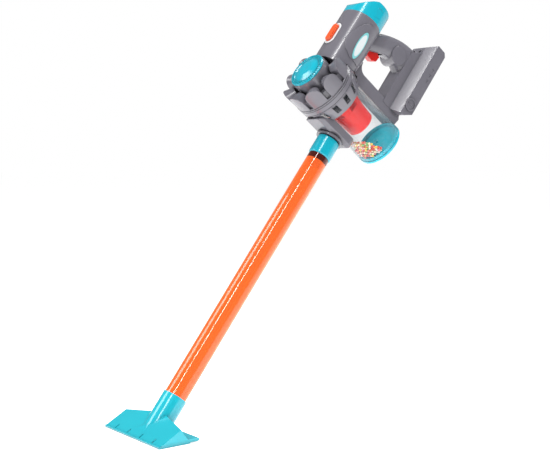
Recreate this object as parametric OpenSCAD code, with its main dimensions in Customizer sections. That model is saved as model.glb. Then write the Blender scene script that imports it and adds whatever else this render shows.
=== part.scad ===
// Toy stick vacuum cleaner: a floor head and a see-through wand push onto a hand unit, which has a
// cyclone crown over a clear bead bin, a motor barrel, a looped handle and a battery foot.
// The frame is the floor's: +Z up, +Y back towards the child, the origin where the wand's axis
// meets the floor. The hand unit is drawn in the wand's own frame: x across, y up the wand from
// the collar's lower rim, z square to the wand, the way the crown faces.

/* [Stance] */
// Angle of the wand above the floor, in degrees
lean = 52; // [45:1:60]

/* [Floor head] */
// Width of the floor head
head_w = 137; // [110:1:170]
// Floor from the ridge forward to the front lip
head_front = 31; // [26:1:40]
// Floor from the ridge back to the edge of the back flange
head_back = 26; // [20:1:34]
// Height of the ridge at the two ends
ridge_end_h = 19; // [14:0.5:24]
// Distance the ridge runs back in the middle, where it meets the socket
ridge_set = 14; // [8:0.5:18]
// Height of the back flange's upper face
flange_h = 6; // [4:0.5:9]
// Wall of the head's shell
head_wall = 1.8; // [1.2:0.1:2.4]
// Distance up the wand's axis from the floor to the socket's rim
socket_reach = 54.7; // [48:0.1:70]
// Depth of the wand in the socket
socket_depth = 28; // [18:1:30]
// Wall of the socket
socket_wall = 1.4; // [1:0.1:2.4]

/* [Wand] */
// Outside diameter of the wand
wand_d = 30; // [27:0.5:33]
// Wall of the wand
wand_wall = 1.8; // [1.2:0.1:2.6]
// Length of wand between the socket and the collar
wand_show = 386; // [250:1:450]

/* [Collar and inlet] */
// Length of the collar
collar_len = 29.3; // [22:0.1:40]
// Step from the wand out to the collar's face
collar_step = 1.5; // [0.8:0.1:3]
// Length of the collar's plug inside the wand
plug_len = 12; // [8:0.5:20]
// Diameter of the inlet flange
inlet_flange_d = 40; // [37:0.5:46]
// Thickness of the inlet flange
inlet_flange_t = 3.9; // [2.5:0.1:6]
// Depth of the inlet duct along the wand
duct_d = 16; // [12:0.5:20]
// Width of the inlet duct
duct_w = 36; // [30:0.5:44]
// Reach of the inlet duct below the wand's axis
duct_low = 28; // [22:0.5:32]

/* [Cyclone crown] */
// Height of the crown's underside over the wand's axis
crown_z = 42; // [38:0.5:46]
// Distance from the inlet duct to the crown's axis
crown_set = 32; // [30:0.5:36]
// Radius of the crown's big ring
crown_r = 46; // [45:0.5:50]
// Height of the big ring
ring_h = 16; // [12:0.5:20]
// Height of the pods over the big ring
pod_h = 26; // [20:0.5:30]
// Radius of the hub in the middle
hub_r = 28; // [26:0.5:30]
// Height of the hub over the pods
hub_proud = 4; // [2:0.5:8]
// Number of pods in a full turn
pod_count = 9; // [7:1:11]
// Half-width of a pod as a share of its distance from the crown's axis
pod_share = 0.28; // [0.24:0.01:0.32]

/* [Bead bin] */
// Height of the slotted band below the crown
band_h = 20; // [14:0.5:24]
// Radius of the band's foot
band_foot_r = 38; // [37:0.5:40]
// Number of slots in the band
slot_count = 14; // [10:1:20]
// Offset of the bin's axis behind the crown's axis
bin_set = 2.5; // [2:0.1:4]
// Radius of the bin's neck
bin_r = 32.4; // [30:0.1:32.8]
// Radius of the bin's foot
bin_foot_r = 35.2; // [33:0.1:36]
// Length of the bin below the crown
bin_len = 118; // [100:1:126]
// Wall of the bin
bin_wall = 1.6; // [1.2:0.1:2.2]
// Radius of the shroud's lower rim
shroud_r = 20.6; // [17:0.1:23]
// Length of the shroud below the crown
shroud_len = 73; // [60:1:80]
// Diameter of a bead
bead_d = 3.8; // [3:0.1:5]

/* [Barrel] */
// Radius of the motor barrel
barrel_r = 30.2; // [28:0.1:32]
// Height of the barrel's axis over the crown's underside
barrel_rise = 13.5; // [12:0.1:15]
// Distance from the crown's axis back to the rear cap's seam
barrel_back = 114.5; // [108:0.5:124]
// Length of the rear cap
cap_len = 29; // [22:0.5:36]
// Wall of the moulded housings
shell = 2.2; // [1.8:0.1:2.8]
// Length of the power button
button_l = 30; // [24:0.5:34]
// Width of the power button
button_w = 11; // [8:0.5:13]
// Height of the power button over the barrel
button_proud = 4.4; // [2.6:0.1:5.5]
// Length of the oval side plate
plate_l = 46; // [36:1:50]
// Width of the oval side plate
plate_w = 13.5; // [10:0.5:16]

/* [Handle] */
// Run of the handle along the wand
grip_run = 61; // [57:0.5:66]
// Drop of the handle from the barrel to the battery foot
grip_drop = 92; // [86:0.5:98]
// Width of the handle
grip_w = 25; // [22:0.5:28]
// Distance from the crown's axis to the back of the strut
strut_back = 54.5; // [52:0.5:58]
// Width of the strut
strut_w = 24; // [20:0.5:26]
// Width of the trigger
trigger_w = 10; // [8:0.5:12]

/* [Battery foot] */
// Length of the battery foot
foot_l = 126; // [118:1:134]
// Width of the battery foot
foot_w = 52; // [50:0.5:60]
// Drop from the wand's axis to the foot's ridge
foot_drop = 37; // [34:0.5:40]
// Depth of the foot from its ridge to its floor
foot_d = 48; // [46:0.5:54]
// Height of the foot's slab
slab_h = 21.5; // [20.5:0.5:24]
// Length of the battery door
door_l = 70; // [64:1:74]
// Width of the battery door
door_w = 44; // [40:1:46]

/* [Hidden] */
// Gap between separate pieces, running gap of a pin, and overrun of a cut
fit = 0.3;
run_gap = 0.06;
overrun = 1;
sliver = 0.01;
$fn = 64;

// Colours of the mouldings
grey = "#7d7b85";
cyan = "#12bfd8";
orange = "#ff6a26";
red = "#e01c10";
steel = "#b9bcc2";

// Floor head: front lip and its ribs, back foot of the wedge, airway and web
lip_h = 2;
wedge_back = 14;
wedge_mid_back = 24;
flange_t = 4.4;
airway_r = wand_d / 2 - wand_wall;
web_t = 2;
socket_r = wand_d / 2 + run_gap + socket_wall;
socket_low = socket_reach - socket_depth;
airway_share = 0.26;
rib_count = 4;
rib_share = 0.225;
rib_pitch = head_w * rib_share;
rib_w = 1.8;
rib_l = 8;
rib_t = 0.7;
lip_bead = 1.5;
lip_share = 0.8;

// Wand and collar
unit_y = socket_reach + wand_show;
wand_r = wand_d / 2;
wand_bore_r = wand_r - wand_wall;
collar_r = wand_r + collar_step;
plug_r = wand_bore_r - run_gap;
plug_wall = 2;
collar_floor = 3;
nozzle_r = wand_bore_r + wand_wall / 4;
nozzle_wall = 2;
rim_round = 1.2;

// Inlet neck and duct
neck_y = collar_len + fit;
duct_y = neck_y + inlet_flange_t;
duct_round = 9;
duct_top = crown_z;
duct_edge = 7;

// Cyclone crown: heights over its underside, radii of its walls
cyc_y = duct_y + duct_d + crown_set;
ring_wall = 2.2;
ring_groove = 0.7;
ring_groove_share = [0.68, 0.85];
pod_top = ring_h + pod_h;
pod_gap = 3;
pod_step = 0.5;
pod_flare = 1.2;
pod_turn = -94;
pod_in_r = hub_r + pod_gap;
pod_out_r = crown_r - pod_step;
pod_axis_z = pod_top - pod_share * pod_out_r;
hub_top = pod_top + hub_proud;
hub_wall = 2.5;
crown_floor = 3;
bridge_t = 7;
bridge_set = 10.5;
bridge_share = 0.42;
barrel_free = 0.9;
pod_angles = [for (k = [0 : pod_count - 1]) let (a = pod_turn + k * 360 / pod_count)
    if (sin(a) < barrel_free) a];
cap_step = 1;
cap_skirt = 3;
cap_dome = 4;
cap_dome_shares = [[0.62, 0.05], [0.42, 0.45], [0.2, 0.5], [0, 0.35]];
cap_plate = 3.4;
cap_teeth = 44;
cap_tooth_w = 1.3;
cap_tooth_l = 5.5;
cap_tooth_d = 0.9;

// Fan motor and fan
motor_r = 10.2;
motor_l = 25;
motor_cup = 9;
motor_cup_wall = 1.6;
shaft_r = 1;
shaft_l = 30;
nose_r = 3.2;
fan_r = 17;
fan_hub_r = 4;
fan_h = 7;
blade_t = 1.4;
blade_count = 6;
blade_set = 28;

// Bead bin
bin_y = cyc_y + bin_set;
bin_foot_z = crown_z - bin_len;
bin_shares = [[0.2, 0], [0.66, 0.1], [0.73, 0.42], [0.8, 0.85], [0.86, 1]];
band_wall = 1.6;
band_lap = 4;
slot_w = 7.5;
slot_h = 16;
shroud_wall = 1.6;
shroud_top_r = bin_r - bin_wall - fit;
shroud_shares = [[0.12, 1], [0.3, 0.82], [0.5, 0.34], [0.74, 0.12], [1, 0]];
window_count = 6;
window_w = 13;
window_h = 12;
window_share = 0.41;
window_turn_share = 0.9;
base_t = 2;
base_rim = 4;
base_lip = 5;
base_dome = 4;
dish_under_shares = [[0, 0.5], [0.3, 0.25], [0.62, -0.5], [0.75, -1]];
dish_shares = [[0.66, 0], [0.34, 0.75], [0, 1]];
ear_w = 9;
ear_l = 8;
ear_r = 2.5;
base_pin_r = 1;
ear_y = bin_y + bin_foot_r - base_t + ear_l;
ear_z = bin_foot_z + ear_r;

// Heap of beads in the lowest corner of the bin
bead_gap = 0.12;
heap_share = 4.2;
pile_lean = -22;
bead_pitch = bead_d + bead_gap;
row_pitch = bead_pitch * sqrt(3) / 2;
layer_pitch = bead_pitch * sqrt(2 / 3);
heap_floor = bin_foot_z + base_lip + bead_gap;
heap_room = bin_foot_r - bin_wall - bead_d / 2 - bead_gap;
heap_rows = floor(2 * bin_foot_r / bead_pitch);
heap_top = heap_level([0, -heap_room, heap_floor]) + heap_share * bead_d;

// Barrel and cap
barrel_z = crown_z + barrel_rise;
barrel_end = cyc_y + barrel_back;
nose_gap = 1;
barrel_nose = cyc_y + hub_r + nose_gap;
cap_lap = 6;
cap_shares = [[-0.5, 1.1], [0.12, 1.02], [0.38, 0.93], [0.64, 0.75], [0.87, 0.51], [1, 0.3], [1, -1.1],
    [-0.5, -1.1]];
cap_inset_share = 0.8;
cap_mark_r = 8;
cap_mark_d = 0.6;
panel_t = 1;
panel_shares = [[0.4, 0.2], [0.47, 0.55], [0.584, 0.737], [0.671, 0.671], [0.753, 0.581], [0.827, 0.478],
    [0.887, 0.339], [0.922, 0.183], [0.94, -0.3], [0.9, -0.62], [0.5, -0.8], [0.4, -0.5]];
plate_t = 1.4;
plate_sink = 1.1;
button_set = 44;
button_y = barrel_end - button_set;
button_t = 1.6;
button_flange = 1.8;
button_throw = 2;
stem_r = 3;
bezel_w = 3.2;
bezel_t = 0.8;

// Handle: cubic curves of its inner and outer edges, as shares of run and drop
grip_in_shares = [[0, 0.043], [0.148, 0.283], [0.574, 0.5], [0.148, 0.87]];
grip_out_shares = [[0.492, 0], [0.66, 0.17], [1.06, 0.5], [1, 1]];
grip_set = 27;
grip_sink = 8.7;
grip_y = barrel_end - grip_set;
grip_top_z = barrel_z - barrel_r + grip_sink;
grip_steps = 12;
grip_sides = 16;
loop_steps = 6;
grip_power = 0.62;
pad_r = 14;
pad_t = 0.7;
pad_share = [0.525, 0.59];
strut_y = cyc_y + strut_back;
strut_foot = 9;
strut_foot_z = bin_foot_z + strut_foot;
loop_round = 13;
hook_l = 9;
hook_t = 8;

// Trigger: outline as shares of its reach and drop from the pivot pin
trigger_reach = 14;
trigger_drop = 30;
trigger_shares = [[-0.8, 0.1], [-0.86, 0.72], [-0.55, 0.96], [0.1, 1], [0.35, 0.7], [0.3, 0]];
trigger_set = 9;
trigger_sink = 2;
trigger_y = grip_y + trigger_set;
trigger_z = grip_top_z - trigger_sink;
trigger_eye_r = 4;
trigger_pin_r = 1.5;
pin_boss_r = 3.6;
pin_boss_wall = 4;
pin_boss_reach = trigger_w + pin_boss_wall;
switch_share = [0.72, 0.75];
switch_y = trigger_y + switch_share[0] * trigger_reach;
switch_z = trigger_z - switch_share[1] * trigger_drop;
slot_share = 2.4;

// Battery foot: cross-section shares across and down, side outline shares along and down
foot_lap = 6;
foot_y = strut_y - foot_lap;
ridge_step = 1;
ridge_w = strut_w + ridge_step;
foot_top_z = -foot_drop;
foot_floor_z = foot_top_z - foot_d;
slab_top_z = foot_floor_z + slab_h;
step_shares = [0.5, 0.62, 0.8];
foot_shares = [[0, 0], [0.73, 0], [0.81, 0.31], [0.92, 0.35], [1, 0.56], [1, 0.88], [0.95, 1], [0.1, 1],
    [0, 0.67]];
mark_d = 0.4;
mark_l = 6;
mark_h = 4;
mark_shares = [[0.52, 0.83], [0.6, 0.83], [0.68, 0.83]];
nub_r = 2.2;
nub_h = 3;
nub_set = 7;
nub_share = [0.865, 0.345];
door_t = 2;
door_share = 0.3;
door_y = foot_y + door_share * foot_l;
pivot_r = 10;
pivot_t = 1.6;
pivot_slot = 1.6;
pivot_slot_share = 0.5;
pivot_dish_share = 0.74;
pivot_share = [0.17, 0.73];
cell_r = 7.1;
cell_l = 50;
cell_gap = 0.6;
cell_count = 3;
cell_nub_r = 2.7;
cell_nub = 1;
tray_wall = 1.4;
contact_t = 0.5;
contact_turns = 3;
contact_wire = 0.5;
contact_l = 5;
contact_r = 3.6;
contact_sides = 6;
contact_share = 0.8;
screw_gap = 1.6;

// Sound board, speaker and switches
board_t = 1.6;
board_l = 46;
board_rise = 9;
board_z = barrel_z + board_rise;
switch_w = 6;
switch_body = 4;
switch_knob_r = 2;
speaker_r = 16;
speaker_t = 6;

// Screws that hold the two halves
screw_r = 1.3;
screw_head_r = 2.6;
screw_head = 1.8;
screw_l = 15;
screw_boss_r = 3.4;
screw_web = 2;
screw_shares = [0.5, 0.66, 0.72, 0.6, 0.94];
strut_screw_y = strut_y - screw_shares[0] * (strut_back - crown_r);
screw_places = [
    [strut_screw_y, (strut_foot_z + foot_top_z) / 2, strut_w / 2 - sliver],
    [strut_screw_y, 0, strut_w / 2 - sliver],
    [grip_y + screw_shares[1] * grip_run, grip_top_z - screw_shares[0] * grip_drop, grip_w / 2 - sliver],
    [trigger_y - trigger_reach - 2 * screw_boss_r, barrel_z - screw_shares[2] * barrel_r,
        screw_shares[3] * barrel_r],
    [foot_y + screw_shares[4] * foot_l, foot_top_z - screw_shares[2] * foot_d, foot_w / 2 - shell / 2]];

// Where the cells lie, forward of the door's screw
cell_pitch = 2 * cell_r + cell_gap;
tray_half = cell_count * cell_pitch / 2 + tray_wall;
tray_end = door_y + door_l - 2 * screw_head_r - screw_r - screw_gap;
tray_low = foot_floor_z + shell + rim_round;
cell_y = tray_end - tray_wall - contact_t - contact_l / 2 - cell_l;
cell_z = tray_low + cell_r;

// Frames and common shapes

// The wand's frame, from the floor up
module on_wand() {
    rotate([lean, 0, 0]) children();
}

// The hand unit's frame, from the collar's lower rim up
module on_unit() {
    on_wand() translate([0, unit_y, 0]) children();
}

// Turns a shape that stands on z to lie along y
module along_y() {
    rotate([-90, 0, 0]) children();
}

// Turns a shape that stands on z to lie along x
module along_x() {
    rotate([0, 90, 0]) children();
}

// Extrudes a side view, drawn in y and z, evenly across x
module across(width) {
    rotate([90, 0, 90]) linear_extrude(width, center = true) children();
}

// A cylinder between two radii, from one height to another
module ring(outer, inner, from, to) {
    translate([0, 0, from]) difference() {
        cylinder(r = outer, h = to - from);
        translate([0, 0, -overrun]) cylinder(r = inner, h = to - from + 2 * overrun);
    }
}

// A slot shape of a length along y, with round ends
module oblong(length, width, height) {
    straight = length - width;
    translate([-width / 2, -straight / 2, 0]) cube([width, straight, height]);
    for (end = [-1, 1]) translate([0, end * straight / 2, 0]) cylinder(d = width, h = height);
}

// A rectangle with round corners, centred
module round_rect(width, depth, corner) {
    square([width - 2 * corner, depth], center = true);
    square([width, depth - 2 * corner], center = true);
    for (sx = [-1, 1], sy = [-1, 1])
        translate([sx * (width / 2 - corner), sy * (depth / 2 - corner)]) circle(corner);
}

// Points of a cubic curve
function cubic(p, t) = p[0] * pow(1 - t, 3) + 3 * p[1] * t * pow(1 - t, 2)
    + 3 * p[2] * t * t * (1 - t) + p[3] * pow(t, 3);

// Half of the signed power that makes a rounded section out of a circle
function squared(v, power) = sign(v) * pow(abs(v), power);

// Side faces between rings of equal size, closed at both ends
function tube_faces(rings, sides) = concat(
    [for (i = [0 : rings - 2], k = [0 : sides - 1])
        [i * sides + k, i * sides + (k + 1) % sides, (i + 1) * sides + (k + 1) % sides]],
    [for (i = [0 : rings - 2], k = [0 : sides - 1])
        [i * sides + k, (i + 1) * sides + (k + 1) % sides, (i + 1) * sides + k]],
    [for (k = [1 : sides - 2]) [0, k + 1, k]],
    [for (k = [1 : sides - 2]) [(rings - 1) * sides, (rings - 1) * sides + k, (rings - 1) * sides + k + 1]]);

// Floor head and wand

// Wedge of the head: a flat front panel whose ridge runs back to the socket in the middle
module head_wedge(inset, low) {
    rise = (ridge_end_h - lip_h) / head_front;
    hull() for (place = [-1, 0, 1]) {
        set = place == 0 ? ridge_set : 0;
        foot = place == 0 ? wedge_mid_back : wedge_back;
        translate([place * (head_w / 2 - inset) - sliver / 2, 0, 0]) rotate([90, 0, 90])
            linear_extrude(sliver) polygon([
                [inset - head_front, low], [inset - head_front, lip_h - inset / 2],
                [set, ridge_end_h + rise * set - 1.5 * inset], [foot - 1.3 * inset, low]]);
    }
}

module floor_head() {
    color(cyan) difference() {
        union() {
            head_wedge(0, 0);
            translate([-head_w / 2, 0, flange_h - flange_t])
                cube([head_w, head_back - flange_t / 2, flange_t]);
            translate([-head_w / 2, head_back - flange_t / 2, flange_h - flange_t / 2])
                along_x() cylinder(d = flange_t, h = head_w);
            translate([-head_w / 2, lip_bead * lip_share - head_front, lip_h])
                along_x() cylinder(r = lip_bead, h = head_w);
            for (k = [0 : rib_count - 1])
                translate([(k - (rib_count - 1) / 2) * rib_pitch, -head_front, lip_h])
                    rotate([atan((ridge_end_h - lip_h) / head_front), 0, 0])
                        translate([-rib_w / 2, lip_bead, -rib_t]) cube([rib_w, rib_l, 2 * rib_t]);
            difference() {
                on_wand() along_y() cylinder(r = socket_r, h = socket_reach);
                translate([-head_w, -head_w, flange_h - flange_t - head_w])
                    cube([2 * head_w, 2 * head_w, head_w]);
            }
        }
        difference() {
            head_wedge(head_wall, -overrun);
            translate([-web_t / 2, -head_front, 0]) cube([web_t, head_front + head_back, socket_reach]);
        }
        on_wand() along_y() translate([0, 0, socket_low])
            cylinder(r = wand_r + run_gap, h = socket_depth + overrun);
        on_wand() along_y() translate([0, 0, airway_share * socket_reach])
            cylinder(r = airway_r, h = socket_reach);
    }
}

module wand_tube() {
    color(orange, 0.75) on_wand() along_y()
        ring(wand_r, wand_bore_r, socket_low + run_gap, unit_y);
}

module wand_collar() {
    color(cyan) on_unit() along_y() rotate_extrude() polygon([
        [plug_r - plug_wall, -plug_len], [plug_r, -plug_len], [plug_r, 0], [collar_r - rim_round, 0],
        [collar_r, rim_round], [collar_r, collar_len - rim_round], [collar_r - rim_round, collar_len],
        [nozzle_r + run_gap, collar_len], [nozzle_r + run_gap, collar_floor],
        [plug_r - plug_wall, collar_floor]]);
}

// Inlet

module inlet_neck() {
    color(grey) on_unit() along_y() rotate_extrude() polygon([
        [nozzle_r - nozzle_wall, collar_floor + fit], [nozzle_r, collar_floor + fit], [nozzle_r, neck_y],
        [inlet_flange_d / 2, neck_y], [inlet_flange_d / 2, duct_y - rim_round],
        [inlet_flange_d / 2 - rim_round, duct_y], [nozzle_r - nozzle_wall, duct_y]]);
}

// Rounded block of the duct, from below the wand's axis up to the crown
module inlet_duct() {
    color(grey) on_unit() difference() {
        translate([0, duct_y, (duct_top - duct_low) / 2]) along_y() linear_extrude(duct_d)
            round_rect(duct_w, duct_top + duct_low, duct_round);
        for (side = [-1, 1]) translate([side * duct_w / 2, duct_y, -duct_low - overrun])
            rotate([0, 0, 45]) translate([-duct_edge / 2, -duct_edge / 2, 0])
                cube([duct_edge, duct_edge, duct_top + duct_low + 2 * overrun]);
        translate([0, duct_y, -duct_low]) rotate([45, 0, 0])
            translate([-duct_w, -duct_edge / 2, -duct_edge / 2]) cube([2 * duct_w, duct_edge, duct_edge]);
        translate([0, duct_y - overrun, 0]) along_y()
            cylinder(r = nozzle_r - nozzle_wall, h = duct_d + 2 * overrun);
        translate([0, cyc_y, crown_z]) band_body(fit);
    }
}

// Cyclone crown

// Slotted band's outer body, grown by a gap
module band_body(gap) {
    translate([0, 0, -band_h]) cylinder(r1 = band_foot_r + gap, r2 = crown_r + gap, h = band_h);
    cylinder(r = crown_r + gap, h = ring_h);
}

module cyclone_crown() {
    seat_r = crown_r - band_wall - fit;
    color(grey) on_unit() translate([0, cyc_y, crown_z]) difference() {
        union() {
            difference() {
                rotate_extrude() polygon([
                    [nose_r + fit, 0], [crown_r - 4 * ring_wall, 0],
                    [crown_r - 4 * ring_wall, ring_h - crown_floor],
                    [seat_r - ring_wall, ring_h - crown_floor], [seat_r - ring_wall, 0], [seat_r, 0],
                    [seat_r, band_lap + fit], [crown_r, band_lap + fit], [crown_r, ring_h - rim_round],
                    [crown_r - rim_round, ring_h], [hub_r, ring_h], [hub_r, hub_top],
                    [hub_r - hub_wall, hub_top], [hub_r - hub_wall, crown_floor],
                    [motor_r + run_gap + motor_cup_wall, crown_floor],
                    [motor_r + run_gap + motor_cup_wall, crown_floor + motor_cup],
                    [motor_r + run_gap, crown_floor + motor_cup], [motor_r + run_gap, crown_floor],
                    [nose_r + fit, crown_floor]]);
                for (share = ring_groove_share) translate([0, 0, ring_h * share])
                    ring(crown_r + overrun, crown_r - ring_groove, -ring_groove / 2, ring_groove / 2);
            }
            intersection() {
                for (a = pod_angles) rotate(a) pod();
                translate([0, 0, ring_h - overrun])
                    cylinder(r1 = pod_out_r, r2 = pod_out_r + 2 * pod_flare, h = 2 * pod_h);
            }
            ring(hub_r + bridge_set + bridge_t / 2, hub_r + bridge_set - bridge_t / 2,
                ring_h - overrun, ring_h + pod_h * bridge_share);
        }
        translate([0, -cyc_y, -crown_z]) barrel_seat();
    }
}

// One pod: an arch that widens and rises as it runs outwards along x
module pod() {
    reach = crown_r + pod_flare + overrun;
    translate([pod_in_r, 0, pod_axis_z]) along_x()
        cylinder(r1 = pod_share * pod_in_r, r2 = pod_share * reach, h = reach - pod_in_r);
    translate([0, 0, ring_h - overrun]) linear_extrude(pod_axis_z - ring_h + overrun)
        polygon([[pod_in_r, -pod_share * pod_in_r], [reach, -pod_share * reach], [reach, pod_share * reach],
            [pod_in_r, pod_share * pod_in_r]]);
}

// Room for the barrel's nose over the big ring
module barrel_seat() {
    intersection() {
        translate([0, barrel_nose - fit, barrel_z]) along_y()
            cylinder(r = barrel_r + panel_t + fit, h = barrel_back);
        translate([-crown_r, cyc_y, crown_z + ring_h]) cube([2 * crown_r, 2 * crown_r, 2 * barrel_r]);
    }
}

module crown_cap() {
    cap_r = hub_r - cap_step;
    plug_in = hub_r - hub_wall - run_gap;
    color(cyan) on_unit() translate([0, cyc_y, crown_z + hub_top]) difference() {
        rotate_extrude() polygon(concat(
            [[0, 0], [plug_in - cap_skirt, 0], [plug_in - cap_skirt, -cap_plate], [plug_in, -cap_plate],
            [plug_in, 0], [cap_r, 0], [cap_r, cap_plate - rim_round],
            [cap_r - rim_round, cap_plate], [cap_r - cap_tooth_l, cap_plate],
            [cap_r - cap_tooth_l - rim_round, cap_plate - rim_round]],
            [for (s = cap_dome_shares) [cap_r * s[0], cap_plate + cap_dome * s[1]]]));
        for (k = [0 : cap_teeth - 1]) rotate(k * 360 / cap_teeth)
            translate([cap_r - cap_tooth_l, -cap_tooth_w / 2, cap_plate - cap_tooth_d])
                cube([cap_tooth_l + overrun, cap_tooth_w, cap_tooth_d + overrun]);
    }
}

// Fan motor and fan

module fan_motor() {
    color(steel) on_unit() translate([0, cyc_y, crown_z + crown_floor]) {
        cylinder(r = motor_r, h = motor_l);
        translate([0, 0, -crown_floor]) cylinder(r = nose_r, h = crown_floor);
        translate([0, 0, -shaft_l]) cylinder(r = shaft_r, h = shaft_l);
    }
}

module fan() {
    low = crown_z + crown_floor - shaft_l - blade_t - fit;
    color("white") on_unit() translate([0, cyc_y, low]) difference() {
        union() {
            cylinder(r = fan_hub_r, h = fan_h);
            for (k = [0 : blade_count - 1]) rotate(k * 360 / blade_count) translate([0, 0, fan_h / 2])
                rotate([blade_set, 0, 0]) translate([0, -blade_t / 2, -fan_h / 2 + blade_t])
                    cube([fan_r, blade_t, fan_h - 2 * blade_t]);
        }
        translate([0, 0, blade_t]) cylinder(r = shaft_r + run_gap, h = fan_h);
    }
}

// Bead bin

module bin_band() {
    color(grey) on_unit() translate([0, cyc_y, crown_z]) difference() {
        rotate_extrude() polygon([[band_foot_r, -band_h], [crown_r, 0], [crown_r, band_lap],
            [crown_r - band_wall, band_lap], [crown_r - band_wall, 0], [band_foot_r - band_wall, -band_h]]);
        for (k = [0 : slot_count - 1]) rotate((k + 0.5) * 360 / slot_count)
            translate([crown_r - 5 * band_wall, -slot_w / 2, band_lap - rim_round - slot_h])
                cube([crown_r, slot_w, slot_h]);
    }
}

// Radius of the bin at each share of its length
function bin_outline(inset) = [for (s = bin_shares)
    [bin_r + (bin_foot_r - bin_r) * s[1] - inset, -bin_len * s[0]]];

module clear_bin() {
    color("white", 0.3) on_unit() translate([0, bin_y, crown_z]) rotate_extrude() polygon(concat(
        [[bin_r, 0]], bin_outline(0), [[bin_foot_r, -bin_len], [bin_foot_r - bin_wall, -bin_len]],
        [for (k = [len(bin_shares) - 1 : -1 : 0]) bin_outline(bin_wall)[k]], [[bin_r - bin_wall, 0]]));
}

module shroud() {
    wall = [for (s = shroud_shares) [shroud_r + (shroud_top_r - shroud_r) * s[1], -shroud_len * s[0]]];
    last = len(wall) - 1;
    color(red) on_unit() translate([0, bin_y, crown_z]) difference() {
        rotate_extrude() polygon(concat(
            [[shroud_top_r, 0]], wall, [[0, -shroud_len]], [[0, -shroud_len + shroud_wall]],
            [[wall[last][0] - shroud_wall, -shroud_len + shroud_wall]],
            [for (k = [last - 1 : -1 : 0]) wall[k] - [shroud_wall, 0]], [[shroud_top_r - shroud_wall, 0]]));
        for (k = [0 : window_count - 1]) rotate((k + window_turn_share) * 360 / window_count)
            translate([0, -window_w / 2, -shroud_len * window_share - window_h / 2])
                cube([bin_r, window_w, window_h]);
    }
}

// Height of a point in the heap, and the room a bead's middle has in the bin at some height
function heap_level(p) = p[1] * sin(lean - pile_lean) + p[2] * cos(lean - pile_lean);
function bead_room(z) = heap_room - bin_foot_r + lookup(crown_z - z - bead_d,
    [for (s = bin_shares) [bin_len * s[0], bin_r + (bin_foot_r - bin_r) * s[1]]]);

module beads() {
    color("pink") on_unit() translate([0, bin_y, 0])
        for (layer = [0 : heap_rows / 2], row = [0 : heap_rows], col = [-heap_rows : heap_rows]) {
            place = [(col + ((row + layer) % 2) / 2) * bead_pitch,
                -heap_room + (row + (layer % 2) / 3) * row_pitch,
                heap_floor + bead_d / 2 + layer * layer_pitch];
            if (norm([place[0], place[1]]) < bead_room(place[2]) + sliver && heap_level(place) < heap_top)
                translate(place) sphere(d = bead_d, $fn = 24);
        }
}

module bin_base() {
    foot = bin_foot_r;
    lip_r = bin_foot_r - bin_wall - run_gap;
    color(cyan) on_unit() translate([0, bin_y, bin_foot_z]) difference() {
        union() {
            rotate_extrude() polygon(concat(
                [for (s = dish_under_shares) [foot * s[0], base_dome * s[1]]],
                [[foot - rim_round, -base_rim], [foot, -base_rim + rim_round], [foot, 0],
                [lip_r, 0], [lip_r, base_lip], [lip_r - base_t, base_lip], [lip_r - base_t, 0]],
                [for (s = dish_shares) [foot * s[0], base_dome * s[1]]]));
            translate([-ear_w / 2, foot - base_t, -base_rim]) cube([ear_w, ear_l, base_rim]);
            translate([-ear_w / 2, foot + ear_l - base_t - ear_r, -base_rim])
                cube([ear_w, 2 * ear_r, base_rim + ear_r]);
            translate([-ear_w / 2, foot - base_t + ear_l, ear_r]) along_x() cylinder(r = ear_r, h = ear_w);
            cylinder(r = base_t, h = base_dome + base_t);
        }
        translate([-ear_w, foot - base_t + ear_l, ear_r]) along_x()
            cylinder(r = base_pin_r + run_gap, h = 2 * ear_w);
    }
}

// Pin through the base's ear and the strut's hook
module base_pin() {
    color(steel) on_unit() translate([-strut_w / 2 + shell, ear_y, ear_z]) along_x()
        cylinder(r = base_pin_r, h = strut_w - 2 * shell);
}

// Housing: barrel, strut, handle and battery foot, split into two halves

// Handle's swept shape, drawn in by an inset
module grip_sweep(inset) {
    inner = [for (s = grip_in_shares) [grip_y + s[0] * grip_run, grip_top_z - s[1] * grip_drop]];
    outer = [for (s = grip_out_shares) [grip_y + s[0] * grip_run, grip_top_z - s[1] * grip_drop]];
    points = [for (i = [0 : grip_steps], k = [0 : grip_sides - 1]) let (
        a = cubic(inner, i / grip_steps),
        b = cubic(outer, i / grip_steps),
        middle = (a + b) / 2,
        reach = (b - a) / 2 * (1 - 2 * inset / norm(b - a)),
        angle = -360 * (k + 0.5) / grip_sides,
        side = squared(sin(angle), grip_power) * (grip_w / 2 - inset),
        along = squared(cos(angle), grip_power))
        [side, middle[0] + reach[0] * along, middle[1] + reach[1] * along]];
    polyhedron(points, tube_faces(grip_steps + 1, grip_sides), convexity = 4);
}

// Battery foot's stepped body, drawn in by an inset
module foot_body(inset) {
    half = foot_w / 2 - inset;
    ridge = ridge_w / 2 - inset;
    top = foot_top_z - inset;
    low = foot_floor_z + inset;
    slab = slab_top_z - inset;
    intersection() {
        translate([0, foot_y, 0]) rotate([90, 0, 180]) linear_extrude(foot_l)
            polygon(concat([for (p = foot_side(ridge, half, top, slab, low)) p],
                [for (k = [5 : -1 : 0]) let (p = foot_side(ridge, half, top, slab, low)[k]) [-p[0], p[1]]]));
        across(foot_w) translate([foot_y, foot_top_z]) polygon([for (s = foot_shares)
            [inset + (foot_l - 2 * inset) * s[0], -inset - (foot_d - 2 * inset) * s[1]]]);
    }
}

// Right side of the foot's cross-section, from the ridge down
function foot_side(ridge, half, top, slab, low) = [[ridge, top], [ridge, top + (slab - top) * step_shares[1]],
    [ridge + (half - ridge) * step_shares[0], top + (slab - top) * step_shares[2]], [half, slab],
    [half, low + rim_round], [half - rim_round, low]];

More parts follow.
